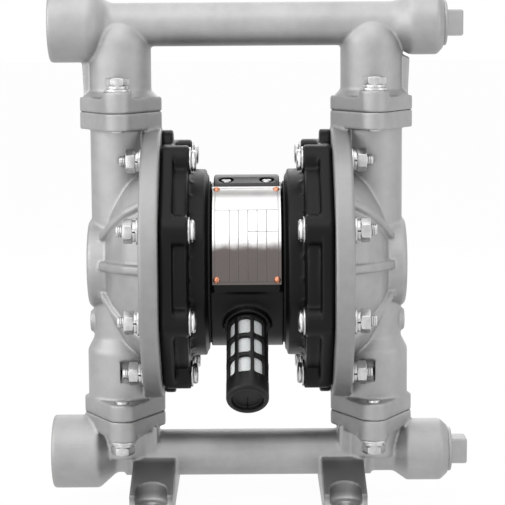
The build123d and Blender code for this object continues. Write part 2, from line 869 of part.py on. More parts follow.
def centre_block():
    """The middle casting: cylinder, valve housing, bosses and all the air-side bores."""
    body = rod(block_radius, 2 * block_half_width, (-block_half_width, 0, 0), (1, 0, 0))
    body += block_segment(housing_radius, housing_low_angle, 180 - housing_low_angle, housing_half_width)
    body = Pos(0, 0, shaft_height) * body
    body -= Pos(0, 0, shaft_height + cover_plane - cover_gasket + 50) * Box(200, 200, 100)
    body += rod(18.5, 72.5 - 60, muffler_point(60), muffler_direction())
    body += rod(21, 78 - 60, (0, 60, shaft_height), (0, 1, 0))
    body -= rod(muffler_stub_radius, 30, muffler_point(muffler_start - 14), muffler_direction())
    body -= rod(5, 40, muffler_point(30), muffler_direction())
    body -= rod(inlet_thread_bore, 30, (0, 78 - inlet_thread_depth, shaft_height), (0, 1, 0))
    body -= rod(5, 40, (0, 38, shaft_height), (0, 1, 0))
    across = (1, 0, 0)
    width = 2 * block_half_width + 2
    start = -block_half_width - 1
    body -= rod(shaft_radius + 1, width, (start, 0, shaft_height), across)
    body -= rod(pilot_radius + 1, width, (start, pilot_y, shaft_height), across)
    body -= rod(sleeve_radius, width, (start, 0, shaft_height + sleeve_z), across)
    for side in sides.values():
        outer = side * (block_half_width + 1)
        body -= rod(bush_radius, bush_length + 1, (outer, 0, shaft_height), (-side, 0, 0))
        body -= rod(pilot_radius + 2, 13, (outer, pilot_y, shaft_height), (-side, 0, 0))
        seal_outer = shaft_radius + running_clearance + 3
        inner = (side * (block_half_width - bush_length - 3), 0, shaft_height)
        body -= rod(seal_outer, 3, inner, (side, 0, 0))
        for angle in cover_screw_angles:
            y, z = around_shaft(cover_screw_circle, angle)
            body -= rod(cover_screw_radius, 17, (outer, y, z), (-side, 0, 0))
    for x, y in valve_screw_places():
        top = shaft_height + cover_plane
        body -= rod(valve_screw_radius, 12, (x, y, top), (0, 0, -1))
    for plane in rivet_planes():
        body -= plane * rivet_shank()
    return body


def valve_screw_places():
    return [(x, y) for x in (-16.3, 16.3) for y in (-18.5, 18.5)]


def air_valve_cover():
    """The cap over the valve housing, with four recessed screws."""
    body = Pos(0, 0, shaft_height) * cover_section()
    body = fillet(body.edges().filter_by(GeomType.CIRCLE), 2)
    for x, y in valve_screw_places():
        floor = shaft_height + cover_plane + valve_screw_floor
        body -= rod(6.2, 20, (x, y, floor), (0, 0, 1))
        body -= rod(valve_screw_radius + 0.2, 20, (x, y, floor - 10), (0, 0, 1))
    return body


def valve_cover_gasket():
    """The gasket under the valve cover, set back from the housing's edge."""
    half_depth = math.sqrt(housing_radius**2 - cover_plane**2) - 1
    sheet = Pos(0, 0, shaft_height + cover_plane - cover_gasket / 2) * Box(
        2 * housing_half_width - 2, 2 * half_depth, cover_gasket
    )
    for x, y in valve_screw_places():
        sheet -= rod(valve_screw_radius + 0.2, 20, (x, y, shaft_height + cover_plane - 10), (0, 0, 1))
    return sheet


def valve_cover_screws():
    """Button-head socket screws in the recesses of the valve cover."""
    screws = []
    for x, y in valve_screw_places():
        floor = shaft_height + cover_plane + valve_screw_floor
        head = rod(4.2, 2.6, (x, y, floor), (0, 0, 1))
        head = fillet(head.edges().sort_by(Axis.Z)[-1], 1.8)
        shank = rod(valve_screw_radius, valve_screw_floor + 11, (x, y, floor), (0, 0, -1))
        socket = Pos(x, y, floor + 2.6) * extrude(RegularPolygon(1.5, 6, major_radius=False), 1.4, both=True)
        screws.append(head + shank - socket)
    return screws


def rivet_planes():
    """A plane at each corner of the nameplate, on its face, looking outwards."""
    base = housing_radius + plate_gauge
    planes = []
    for x in (-plate_width / 2 + 3.2, plate_width / 2 - 3.2):
        for angle in (plate_low_angle + 3, plate_high_angle - 3):
            turn = math.radians(angle)
            along = (0, -math.cos(turn), math.sin(turn))
            at = (x, base * along[1], shaft_height + base * along[2])
            planes.append(Plane(origin=at, z_dir=along))
    return planes


def rivet_shank():
    return Pos(0, 0, -5) * Cylinder(rivet_shank_radius, 5.0, align=upright)


def nameplate():
    """A thin curved plate wrapped on the front of the valve housing."""
    outer = housing_radius + plate_gauge
    body = block_segment(outer, plate_low_angle, plate_high_angle, plate_width / 2)
    body -= rod(housing_radius, plate_width + 2, (-plate_width / 2 - 1, 0, 0), (1, 0, 0))
    body = Pos(0, 0, shaft_height) * body
    for plane in rivet_planes():
        body -= plane * rivet_shank()
    return body


def nameplate_rivets():
    """Four round-head drive rivets at the plate's corners."""
    sphere_radius = (rivet_radius**2 + rivet_height**2) / (2 * rivet_height)
    ball = Pos(0, 0, rivet_height - sphere_radius) * Sphere(sphere_radius)
    head = ball & Cylinder(2 * rivet_radius, rivet_height, align=upright)
    return [plane * (head + rivet_shank()) for plane in rivet_planes()]


# Muffler


def muffler_body():
    """The moulded cage: threaded stub, three rows of windows and a closed rounded end."""
    direction = muffler_direction()
    length = muffler_end - muffler_start
    profile = rounded(
        [
            (0, -12, 0),
            (muffler_stub_radius, -12, 1),
            (muffler_stub_radius, 2, 0),
            (muffler_radius, 2, 2),
            (muffler_radius, length, 3),
            (12.5, length, 1),
            (11.7, length - 4, 1),
            (0, length - 4, 0),
        ]
    )
    body = revolve(profile.rotate(Axis.X, 90), Axis.Z)
    inside = muffler_radius - muffler_wall
    body -= Pos(0, 0, window_first) * Cylinder(inside, window_rows * window_pitch, align=upright)
    body -= Pos(0, 0, -13) * Cylinder(6, 25, align=upright)
    window = Box(2 * muffler_radius, window_width, window_length)
    window = fillet(window.edges().filter_by(Axis.X), 2.2)
    for row in range(window_rows):
        z = window_first + window_pitch * (row + 0.5)
        for column in range(window_columns // 2):
            turn = 360 / window_columns * column + window_turn
            body -= Pos(0, 0, z) * Rot(0, 0, turn) * window
    body -= Pos(0, -6, length - 3) * Box(0.8, 12, 5)
    frame = Plane(origin=muffler_point(muffler_start), x_dir=(1, 0, 0), z_dir=direction)
    return frame * body


def muffler_element():
    """The porous silencing tube inside the cage."""
    outer = muffler_radius - muffler_wall
    start = muffler_start + window_first
    return ring(outer, outer - 4, window_rows * window_pitch, muffler_point(start), muffler_direction())


# Fasteners


def chamber_bolts(side):
    """Domed flange-head bolts, put in from the air cover's face."""
    bolts = []
    for angle in bolt_angles():
        y, z = around_shaft(bolt_circle, angle)
        flange = rod(10.9, 1.4, (cover_face_x, y, z), (-1, 0, 0))
        dome = rod(8.6, 4.4, (cover_face_x - 1, y, z), (-1, 0, 0))
        dome = fillet(dome.edges().sort_by(Axis.X)[0], 2.8)
        socket = Pos(cover_face_x - 5.4, y, z) * Rot(0, 90, 0) * extrude(
            RegularPolygon(3, 6, major_radius=False), 2.5, both=True
        )
        end = joint_x + disc_thickness + flat_washer + spring_washer + nut_height + 5
        shank = rod(bolt_radius, end - cover_face_x, (cover_face_x, y, z), (1, 0, 0))
        shank = chamfer(shank.edges().sort_by(Axis.X)[-1], 1)
        bolts.append(mirrored(flange + dome + shank - socket, side))
    return bolts


def nut_at(at, along):
    return hexagon(nut_flats, nut_height, at, along) - rod(bolt_radius, 50, at, along)


def chamber_nuts(side):
    nuts = []
    for angle in bolt_angles():
        y, z = around_shaft(bolt_circle, angle)
        x = joint_x + disc_thickness + flat_washer + spring_washer
        nuts.append(mirrored(nut_at((x, y, z), (1, 0, 0)), side))
    return nuts


def washer_pair(at, along):
    """A flat washer with a spring washer on it."""
    x, y, z = at
    lifted = (x + flat_washer * along[0], y, z + flat_washer * along[2])
    flat = ring(10.5, bolt_hole_radius, flat_washer, at, along)
    spring = ring(8.6, bolt_radius + 0.2, spring_washer, lifted, along)
    gap = Plane(origin=lifted, z_dir=along) * Pos(0, 7, spring_washer / 2) * Box(1.2, 8, 2 * spring_washer)
    return [flat, spring - gap]


def nut_washers(side):
    washers = []
    for angle in bolt_angles():
        y, z = around_shaft(bolt_circle, angle)
        for washer in washer_pair((joint_x + disc_thickness, y, z), (1, 0, 0)):
            washers.append(mirrored(washer, side))
    return washers


def flange_bolts(level):
    """The four hexagon bolts of one manifold, threaded into the chamber flanges."""
    up = 1 if level == "outlet" else -1
    joint = outlet_joint if up > 0 else inlet_joint
    seat = joint + up * (flange_boss_height + flat_washer + spring_washer)
    tip = joint - up * (chamber_flange + 1.5)
    bolts = []
    for x, y in flange_bolt_places():
        bolt = hexagon(nut_flats, head_height, (x, y, seat), (0, 0, up))
        bolt += rod(bolt_radius, abs(seat - tip), (x, y, seat), (0, 0, -up))
        bolts.append(bolt)
    return bolts


def flange_bolt_washers(level):
    up = 1 if level == "outlet" else -1
    joint = outlet_joint if up > 0 else inlet_joint
    washers = []
    for x, y in flange_bolt_places():
        washers += washer_pair((x, y, joint + up * flange_boss_height), (0, 0, up))
    return washers


def all_parts():
    """Every node of the pump, by name."""
    parts = {
        "outlet_manifold": outlet_manifold(),
        "inlet_manifold": inlet_manifold(),
        "outlet_plug": port_plug("outlet"),
        "inlet_plug": port_plug("inlet"),
        "centre_block": centre_block(),
        "air_valve_cover": air_valve_cover(),
        "valve_cover_gasket": valve_cover_gasket(),
        "valve_cover_screws": valve_cover_screws(),
        "valve_sleeve": valve_sleeve(),
        "valve_spool": valve_spool(),
        "spool_seals": spool_seals(),
        "valve_end_caps": valve_end_caps(),
        "pilot_rod": pilot_rod(),
        "pilot_bushes": pilot_bushes(),
        "diaphragm_shaft": diaphragm_shaft(),
        "shaft_bushes": shaft_bushes(),
        "shaft_seals": shaft_seals(),
        "nameplate": nameplate(),
        "nameplate_rivets": nameplate_rivets(),
        "muffler_body": muffler_body(),
        "muffler_element": muffler_element(),
    }
    for level in ("outlet", "inlet"):
        parts[level + "_flange_bolts"] = flange_bolts(level)
        parts[level + "_bolt_washers"] = flange_bolt_washers(level)
        parts[level + "_seat_o_rings"] = seat_o_rings(level)
    for name, side in sides.items():
        parts[name + "_fluid_chamber"] = fluid_chamber(side)
        parts[name + "_air_cover"] = air_cover(side)
        parts[name + "_block_gasket"] = block_gasket(side)
        parts[name + "_cover_screws"] = cover_screws(side)
        parts[name + "_diaphragm"] = diaphragm(side)
        parts[name + "_inner_plate"] = backing_plate(side, False)
        parts[name + "_outer_plate"] = backing_plate(side, True)
        parts[name + "_chamber_bolts"] = chamber_bolts(side)
        parts[name + "_chamber_nuts"] = chamber_nuts(side)
        parts[name + "_nut_washers"] = nut_washers(side)
        for level in ("outlet", "inlet"):
            parts[name + "_" + level + "_seat"] = valve_seat(side * neck_x, seat_low(level))
            parts[name + "_" + level + "_ball"] = valve_ball(side * neck_x, level)
    return parts


if __name__ == "__main__":
    os.makedirs("parts", exist_ok=True)
    for name, shape in all_parts().items():
        solids = shape if isinstance(shape, list) else [shape]
        whole = Compound([solid for piece in solids for solid in piece.solids()])
        export_step(whole, "parts/" + name + ".step")
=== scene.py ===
import json
import math

import bpy
from mathutils import Matrix, Vector


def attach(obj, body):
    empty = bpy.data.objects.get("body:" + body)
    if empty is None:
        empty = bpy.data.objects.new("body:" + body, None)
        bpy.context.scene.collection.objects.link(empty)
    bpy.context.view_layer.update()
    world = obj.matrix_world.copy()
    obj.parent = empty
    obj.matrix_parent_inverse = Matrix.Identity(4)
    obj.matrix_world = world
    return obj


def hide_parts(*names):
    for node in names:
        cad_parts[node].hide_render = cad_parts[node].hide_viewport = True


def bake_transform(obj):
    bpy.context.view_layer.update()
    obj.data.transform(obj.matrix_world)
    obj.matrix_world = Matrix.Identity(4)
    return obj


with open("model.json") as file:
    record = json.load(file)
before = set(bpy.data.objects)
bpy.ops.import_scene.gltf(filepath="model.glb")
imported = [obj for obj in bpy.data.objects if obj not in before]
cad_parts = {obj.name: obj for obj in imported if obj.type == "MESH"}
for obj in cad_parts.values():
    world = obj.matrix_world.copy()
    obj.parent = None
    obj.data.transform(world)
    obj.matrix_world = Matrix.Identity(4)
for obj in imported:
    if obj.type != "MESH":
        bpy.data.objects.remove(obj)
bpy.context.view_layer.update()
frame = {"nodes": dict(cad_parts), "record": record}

MM = 0.001
nodes = frame["nodes"]
SIDES = {"left": -1, "right": 1}

# Places on the pump, in metres.
SHAFT_Z = 0.2
DISC_OUTER_X = 0.0832
DISC_RADIUS = 0.11
COVER_FACE_X = 0.0452
FOOT_X = 0.0773
FOOT_HALF_WIDTH = 0.0172
BOLT_CIRCLE = 0.093
BOLT_COUNT = 8
PLATE_RADIUS = 0.072
PLATE_MIDDLE = 35.5

# How finely the castings are remade, and how much of their triangles stays.
FINE_VOXEL = 1.1 * MM
BLOCK_VOXEL = 1.3 * MM
COVER_VOXEL = 1.4 * MM
OUTLET_KEPT = 0.7
INLET_KEPT = 0.65
CHAMBER_KEPT = 0.6
MERGE_DISTANCE = 0.01 * MM
DIAPHRAGM_SECTORS = 12

# Widths of the broken edges of machined pieces.
WIDE_EASE = 0.35 * MM
NUT_EASE = 0.3 * MM
FINE_EASE = 0.25 * MM

# The bolts through the chambers' discs, along their own line.
FLANGE_RADIUS = 10.8 * MM
DOME_RADIUS = 8.6 * MM
DOME_TOP = -5.4 * MM
SOCKET_RADIUS = 3.46 * MM
SHANK_RADIUS = 4.25 * MM
THREAD_CREST = 5 * MM
THREAD_PITCH = 1.5 * MM
THREAD_TURNS = 4
SHANK_BEYOND_DISC = 17.6 * MM

# The studio: light on the object, and how much of the floor's white is its own.
WORLD_LIGHT = 0.42
FLOOR_GLOW = 0.9
GLOW_STRENGTH = 1.06

# ---------------------------------------------------------------- shader expressions


class Field:
    """A shader value: Python arithmetic on it adds Math nodes to its material."""

    def __init__(self, material, socket):
        self.material = material
        self.socket = socket

    def _math(self, operation, *values):
        return self.material.node("ShaderNodeMath", {"operation": operation}, list(values))

    def __add__(self, other):
        return self._math("ADD", self, other)

    def __sub__(self, other):
        return self._math("SUBTRACT", self, other)

    def __mul__(self, other):
        return self._math("MULTIPLY", self, other)

    def __radd__(self, other):
        return self._math("ADD", other, self)

    def __rsub__(self, other):
        return self._math("SUBTRACT", other, self)

    def __rmul__(self, other):
        return self._math("MULTIPLY", other, self)

    def __abs__(self):
        return self._math("ABSOLUTE", self)

    def most(self, other):
        return self._math("MAXIMUM", self, other)

    def step(self, low, high):
        """0 below low and 1 above high, smooth between."""
        settings = {"interpolation_type": "SMOOTHSTEP"}
        values = {"Value": self, "From Min": low, "From Max": high}
        return self.material.node("ShaderNodeMapRange", settings, values)


class Finish:
    """A node material, built around one Principled shader."""

    def __init__(self, name, **constants):
        self.material = bpy.data.materials.new(name)
        self.material.use_nodes = True
        self.tree = self.material.node_tree
        self.shader = self.tree.nodes["Principled BSDF"]
        for socket, value in constants.items():
            self.shader.inputs[socket.replace("_", " ")].default_value = value

    def node(self, kind, settings=None, values=None, output=0):
        """Adds a node: its settings first, then the values or links of its sockets."""
        made = self.tree.nodes.new(kind)
        for key, value in (settings or {}).items():
            setattr(made, key, value)
        pairs = values.items() if isinstance(values, dict) else enumerate(values or [])
        for key, value in pairs:
            self.feed(made.inputs[key], value)
        return Field(self, made.outputs[output])

    def feed(self, socket, value):
        """Links a field to a socket, or sets a constant."""
        if isinstance(value, Field):
            self.tree.links.new(value.socket, socket)
        else:
            socket.default_value = value

    def set(self, socket, value):
        """Feeds a named input of the Principled shader."""
        self.feed(self.shader.inputs[socket], value)

    def place(self):
        """The object coordinates."""
        return self.node("ShaderNodeTexCoord", output="Object")

    def axes(self):
        """The object coordinates as three fields, in metres."""
        split = self.node("ShaderNodeSeparateXYZ", None, [self.place()])
        outputs = split.socket.node.outputs
        return [Field(self, outputs[i]) for i in range(3)]

    def noise(self, size, detail, roughness=0.55, stretch=(1, 1, 1)):
        """Noise with features of about that size in metres, from 0 to 1."""
        turned = {"Vector": self.place(), "Scale": stretch}
        where = self.node("ShaderNodeMapping", {"vector_type": "POINT"}, turned)
        values = {"Vector": where, "Scale": 1 / size, "Detail": detail, "Roughness": roughness}
        return self.node("ShaderNodeTexNoise", None, values)

    def grains(self, size):
        """The distance to the nearest of many points about that size apart."""
        return self.node("ShaderNodeTexVoronoi", None, {"Vector": self.place(), "Scale": 1 / size})

    def edges(self):
        """High on outward edges and low in hollows."""
        return self.node("ShaderNodeNewGeometry", output="Pointiness")

    def colour_mix(self, factor, first, second):
        """The first colour where the factor is 0, the second where it is 1."""
        made = self.tree.nodes.new("ShaderNodeMix")
        made.data_type = "RGBA"
        self.feed(made.inputs[0], factor)
        self.feed(made.inputs[6], first)
        self.feed(made.inputs[7], second)
        return Field(self, made.outputs[2])

    def bump(self, height, distance, strength):
        """Raises the surface by a height field, over a distance in metres."""
        values = {"Height": height, "Distance": distance, "Strength": strength}
        self.set("Normal", self.node("ShaderNodeBump", None, values))


def grey(level, warm=0.0):
    """A grey, with its red raised and its blue lowered by a fraction."""
    return (level * (1 + warm), level, level * (1 - warm), 1)


def painted_rim_shade(x, y, z):
    """Painted shade on the edge of a chamber's clamping disc, which is turned: how much darker it is made."""
    height = z - SHAFT_Z
    squared = (y * y + height * height) * 100
    inner, outer = (DISC_RADIUS - 0.0105) * 10, (DISC_RADIUS + 0.0005) * 10
    on_disc = squared.step(inner**2, (inner + 0.02) ** 2) * (1 - squared.step(outer**2, (outer + 0.015) ** 2))
    return on_disc * (1 - abs(x).step(DISC_OUTER_X + 0.2 * MM, DISC_OUTER_X + 1 * MM)) * 0.34


def painted_foot_shade(x, y, z):
    """Painted shade on the sloping tops of the feet, under the pump's body: how much darker they are made."""
    aside = abs(abs(x) - FOOT_X)
    on_foot = 1 - aside.step(FOOT_HALF_WIDTH + 0.1 * MM, FOOT_HALF_WIDTH + 1.3 * MM)
    on_arm = abs(y).step(0.02, 0.027) * on_foot
    return on_arm * z.step(0.016, 0.022) * (1 - z.step(0.04, 0.045)) * 0.8


def blasted_stainless(name="blasted_stainless", painted_shade=None, light=0.46, dark=0.37):
    """Cast stainless steel after glass blasting: satin, mottled, brighter on worn edges, with painted shade
    darkening its hollows.

    The last argument takes the three object coordinates and gives how much painted shade darkens a place.
    """
    finish = Finish(name, Metallic=1.0)
    mottle = finish.noise(0.045, 4)
    patch = finish.noise(0.009, 3)
    grain = finish.noise(0.0007, 2)
    tone = (mottle * 0.55 + patch * 0.3 + grain * 0.15).step(0.3, 0.7)
    base = finish.colour_mix(tone, grey(dark, 0.004), grey(light, 0.002))
    worn = finish.edges().step(0.53, 0.6)
    # Painted shade: hollows, where pointiness is low, are darkened towards a dark grey and made rougher.
    hollow_painted_shade = finish.edges().step(0.47, 0.42)
    base = finish.colour_mix(worn * 0.3, base, grey(0.78))
    base = finish.colour_mix(hollow_painted_shade * 0.25, base, grey(0.26, 0.02))
    # Painted shade: places that the given function picks, such as chamber rims and foot tops, are darkened
    # towards a dark grey.
    if painted_shade:
        base = finish.colour_mix(painted_shade(*finish.axes()), base, grey(0.17, 0.01))
    finish.set("Base Color", base)
    finish.set("Roughness", 0.47 + patch * 0.1 + grain * 0.08 - worn * 0.1 + hollow_painted_shade * 0.1)
    pits = finish.grains(0.0011)
    finish.bump(grain * 0.6 + patch * 0.6 + pits * 0.5, 0.00012, 0.55)
    return finish.material


def turned_steel():
    """Bright fasteners, faintly brushed and marked by spanners."""
    finish = Finish("turned_steel", Metallic=1.0)
    brushed = finish.noise(0.0016, 3, 0.6, (1, 1, 0.15))
    smudge = finish.noise(0.006, 2)
    worn = finish.edges().step(0.52, 0.6)
    base = finish.colour_mix(smudge.step(0.35, 0.7), grey(0.5), grey(0.63, 0.004))
    finish.set("Base Color", finish.colour_mix(worn * 0.5, base, grey(0.78)))
    finish.set("Roughness", 0.2 + brushed * 0.14 + smudge * 0.1)
    finish.bump(brushed, 0.00005, 0.4)
    return finish.material


def black_coating():
    """Satin black coating on an aluminium casting, rubbed paler on its edges."""
    finish = Finish("black_coating", Specular_IOR_Level=0.2)
    peel = finish.noise(0.0012, 2)
    cloud = finish.noise(0.03, 3)
    worn = finish.edges().step(0.53, 0.62)
    base = finish.colour_mix(cloud, grey(0.003, -0.06), grey(0.0055, -0.06))
    finish.set("Base Color", finish.colour_mix(worn * 0.5, base, grey(0.11, -0.02)))
    finish.set("Roughness", 0.3 + cloud * 0.12 + peel * 0.06)
    finish.bump(peel, 0.00012, 0.5)
    return finish.material


def moulded_black():
    """Moulded black plastic with a fine grain."""
    finish = Finish("moulded_black", Specular_IOR_Level=0.3)
    grain = finish.grains(0.0006)
    cloud = finish.noise(0.012, 2)
    worn = finish.edges().step(0.53, 0.62)
    base = finish.colour_mix(cloud, grey(0.004), grey(0.007))
    finish.set("Base Color", finish.colour_mix(worn * 0.4, base, grey(0.07)))
    finish.set("Roughness", 0.36 + cloud * 0.14)
    finish.bump(grain, 0.00008, 0.5)
    return finish.material


def sintered_white():
    """The silencer's porous plastic: tiny fused beads with dark pores."""
    finish = Finish("sintered_white", Subsurface_Weight=0.1)
    beads = finish.grains(0.0009)
    pores = beads.step(0.42, 0.62)
    dust = finish.noise(0.01, 3)
    base = finish.colour_mix(dust, grey(0.88, 0.008), grey(0.96, 0.004))
    finish.set("Base Color", finish.colour_mix(pores * 0.3, base, grey(0.62, 0.02)))
    finish.set("Roughness", 0.75 + pores * 0.15)
    finish.bump(1 - beads, 0.0003, 0.7)
    return finish.material


def ruled_plate():
    """The bare rating plate: brushed sheet with an engraved border and an empty table, its lower part painted
    dark as a reflection.
    """
    finish = Finish("ruled_plate", Metallic=1.0)
    x, y, z = finish.axes()
    around = finish.node("ShaderNodeMath", {"operation": "ARCTAN2"}, [z - SHAFT_Z, y * -1])
    across = x * 1000
    middle = around * (PLATE_RADIUS * 1000) - PLATE_MIDDLE
    half_width, half_height, table_top = 25, 42.1, 17.1

    def line(distance):
        return 1 - abs(distance).step(0.22, 0.42)

    def within(distance, limit, width):
        return 1 - abs(distance).step(limit, limit + width)

    inside = within(across, half_width - 0.1, 0.2) * within(middle, half_height - 0.1, 0.2)
    border = line(abs(across) - half_width).most(line(abs(middle) - half_height))
    border = border * within(across, half_width + 0.1, 0.3) * within(middle, half_height + 0.1, 0.3)
    table = line(across + 13.6)
    for column in (-6.5, 1, 8.3, 15.7):
        table = table.most(line(across - column))
    table = table * (1 - middle.step(table_top - 0.1, table_top + 0.1))
    rows = line(middle - table_top).most(line(middle + 2) * across.step(0.9, 1.1))
    marks = border.most(table.most(rows) * inside)
    brushed = finish.noise(0.0008, 3, 0.6, (0.03, 1, 1))
    smudge = finish.noise(0.012, 3)
    # Painted reflection: towards the bottom the plate is painted dark, as the dark surroundings that it would
    # mirror.
    low = 1 - (middle + smudge * 8).step(-14, -6)
    base = finish.colour_mix(smudge, grey(0.64, 0.01), grey(0.76, 0.01))
    base = finish.colour_mix(low * 0.88, base, (0.085, 0.06, 0.055, 1))
    finish.set("Base Color", finish.colour_mix(marks * 0.8, base, grey(0.1)))
    finish.set("Roughness", 0.18 + brushed * 0.1 + smudge * 0.05 + marks * 0.3)
    finish.bump(brushed * 0.2 - marks, 0.00006, 0.6)
    return finish.material


def rivet_copper():
    """Copper rivets, tarnished in patches."""
    finish = Finish("rivet_copper", Metallic=1.0)
    tarnish = finish.noise(0.0015, 3)
    base = finish.colour_mix(tarnish.step(0.35, 0.7), (0.78, 0.36, 0.22, 1), (0.5, 0.2, 0.12, 1))
    finish.set("Base Color", base)
    finish.set("Roughness", 0.28 + tarnish * 0.25)
    finish.bump(tarnish, 0.00005, 0.5)
    return finish.material


def moulded_rubber():
    """Black rubber: diaphragms, seals and gaskets."""
    finish = Finish("moulded_rubber")
    cloud = finish.noise(0.01, 3)
    finish.set("Base Color", finish.colour_mix(cloud, grey(0.02), grey(0.035)))
    finish.set("Roughness", 0.6 + cloud * 0.2)
    finish.bump(finish.noise(0.0008, 2), 0.0001, 0.5)
    return finish.material


def fluoropolymer():
    """The check balls' white plastic."""
    finish = Finish("fluoropolymer", Subsurface_Weight=0.15)
    cloud = finish.noise(0.008, 3)
    finish.set("Base Color", finish.colour_mix(cloud, grey(0.78, 0.02), grey(0.86, 0.015)))
    finish.set("Roughness", 0.35 + cloud * 0.15)
    finish.bump(finish.noise(0.0006, 2), 0.00005, 0.4)
    return finish.material


def bearing_bronze():
    """Turned bronze bushes."""
    finish = Finish("bearing_bronze", Metallic=1.0)
    cloud = finish.noise(0.004, 3)
    finish.set("Base Color", finish.colour_mix(cloud, (0.5, 0.31, 0.13, 1), (0.66, 0.45, 0.2, 1)))
    finish.set("Roughness", 0.28 + cloud * 0.2)
    finish.bump(finish.noise(0.0008, 2, 0.5, (1, 0.1, 0.1)), 0.00004, 0.5)
    return finish.material


STAINLESS = blasted_stainless()
CHAMBER_STAINLESS = blasted_stainless("chamber_stainless", painted_rim_shade)
FOOTED_STAINLESS = blasted_stainless("footed_stainless", painted_foot_shade)
STEEL = turned_steel()
BLACK = black_coating()
PLASTIC = moulded_black()
SINTER = sintered_white()
PLATE = ruled_plate()
COPPER = rivet_copper()
RUBBER = moulded_rubber()
POLYMER = fluoropolymer()
BRONZE = bearing_bronze()

SLOT_FINISH = {
    "cast_stainless": STAINLESS,
    "bright_steel": STEEL,
    "black_casting": BLACK,
    "black_plastic": PLASTIC,
    "porous_white": SINTER,
    "copper": COPPER,
    "plate_steel": PLATE,
    "elastomer": RUBBER,
    "ball_plastic": POLYMER,
    "bronze": BRONZE,
    "gasket": RUBBER,
    "dark_screws": STEEL,
}


def dress(piece, material):
    """Gives a piece one finish."""
    piece.data.materials.clear()
    piece.data.materials.append(material)


def slot_of(node):
    """The record's material slot of a CAD node."""
    for entry in frame["record"]["subparts"]:
        if entry["node"] == node:
            return entry["material_slot"]
    return None


# ---------------------------------------------------------------- modelling helpers


def deselect():
    """Leaves nothing selected."""
    bpy.ops.object.select_all(action="DESELECT")


def choose(piece):
    """Makes a piece the only one selected and active."""
    deselect()
    piece.select_set(True)
    bpy.context.view_layer.objects.active = piece


def apply_modifier(piece, kind, **settings):
    """Adds a modifier with its settings and applies it."""
    choose(piece)
    modifier = piece.modifiers.new(kind.lower(), kind)
    for key, value in settings.items():
        setattr(modifier, key, value)
    bpy.ops.object.modifier_apply(modifier=modifier.name)


def soften(piece, angle):
    """Smooth shading across edges up to an angle in degrees."""
    choose(piece)
    bpy.ops.object.shade_smooth_by_angle(angle=math.radians(angle))


def finish_piece(piece, name, body, material):
    """Names a new piece and gives it its finish, body and slot."""
    piece.name = name
    piece.data.name = name
    dress(piece, material)
    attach(piece, body)


# ---------------------------------------------------------------- castings


def merged_copy(node):
    """A free copy of a CAD node's mesh with its loose triangles joined up."""
    piece = nodes[node].copy()
    piece.data = nodes[node].data.copy()
    bpy.context.scene.collection.objects.link(piece)
    piece.parent = None
    for key in [k for k in piece.keys() if k.startswith("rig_")]:
        del piece[key]
    choose(piece)
    bpy.ops.object.mode_set(mode="EDIT")
    bpy.ops.mesh.select_all(action="SELECT")
    bpy.ops.mesh.remove_doubles(threshold=MERGE_DISTANCE)
    bpy.ops.object.mode_set(mode="OBJECT")
    return piece


def casting(node, voxel, passes, material, keep=1.0):
    """A casting with the rounded corners of its mould, made on its CAD solid.

    keep is the part of its triangles that stays.
    """
    piece = merged_copy(node)
    apply_modifier(piece, "REMESH", mode="VOXEL", voxel_size=voxel, use_smooth_shade=True)
    apply_modifier(piece, "SMOOTH", factor=0.5, iterations=passes)
    if keep < 1:
        apply_modifier(piece, "DECIMATE", ratio=keep)
    finish_piece(piece, node + "_casting", "pump_body", material)
    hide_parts(node)


def all_castings():
    """The pump's seven castings, each made at the fineness that its forms need."""
    casting("outlet_manifold", FINE_VOXEL, 3, STAINLESS, OUTLET_KEPT)
    casting("inlet_manifold", FINE_VOXEL, 3, FOOTED_STAINLESS, INLET_KEPT)
    for side in SIDES:
        casting(side + "_fluid_chamber", FINE_VOXEL, 3, CHAMBER_STAINLESS, CHAMBER_KEPT)
        casting(side + "_air_cover", COVER_VOXEL, 2, BLACK)
    casting("centre_block", BLOCK_VOXEL, 2, BLACK)


def eased(node, width):
    """A machined piece with its sharp edges broken, made on its CAD solid."""
    piece = merged_copy(node)
    bpy.ops.object.mode_set(mode="EDIT")
    bpy.ops.mesh.select_all(action="SELECT")
    bpy.ops.mesh.dissolve_limited(angle_limit=math.radians(1))
    bpy.ops.object.mode_set(mode="OBJECT")
    corner = math.radians(32)
    apply_modifier(piece, "BEVEL", width=width, segments=2, limit_method="ANGLE", angle_limit=corner)
    soften(piece, 30)
    slot = slot_of(node)
    finish_piece(piece, node + "_eased", "pump_body", SLOT_FINISH[slot])
    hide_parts(node)


def all_machined():
    """Plugs, fasteners, the silencer and the valve cover with their edges broken."""
    for node in ("outlet_plug", "inlet_plug", "outlet_flange_bolts", "inlet_flange_bolts"):
        eased(node, WIDE_EASE)
    for node in ("outlet_bolt_washers", "inlet_bolt_washers", "muffler_body", "air_valve_cover"):
        eased(node, FINE_EASE)
    for side in SIDES:
        eased(side + "_chamber_nuts", NUT_EASE)
        eased(side + "_nut_washers", FINE_EASE)


# ---------------------------------------------------------------- diaphragms


def cut_away(angle):
    """Cuts by a plane through the shaft line and keeps the side that its normal, at an angle, points to."""
    bpy.ops.mesh.select_all(action="SELECT")
    normal = (0, math.cos(angle), math.sin(angle))
    bpy.ops.mesh.bisect(plane_co=(0, 0, SHAFT_Z), plane_no=normal, clear_inner=True, use_fill=True)


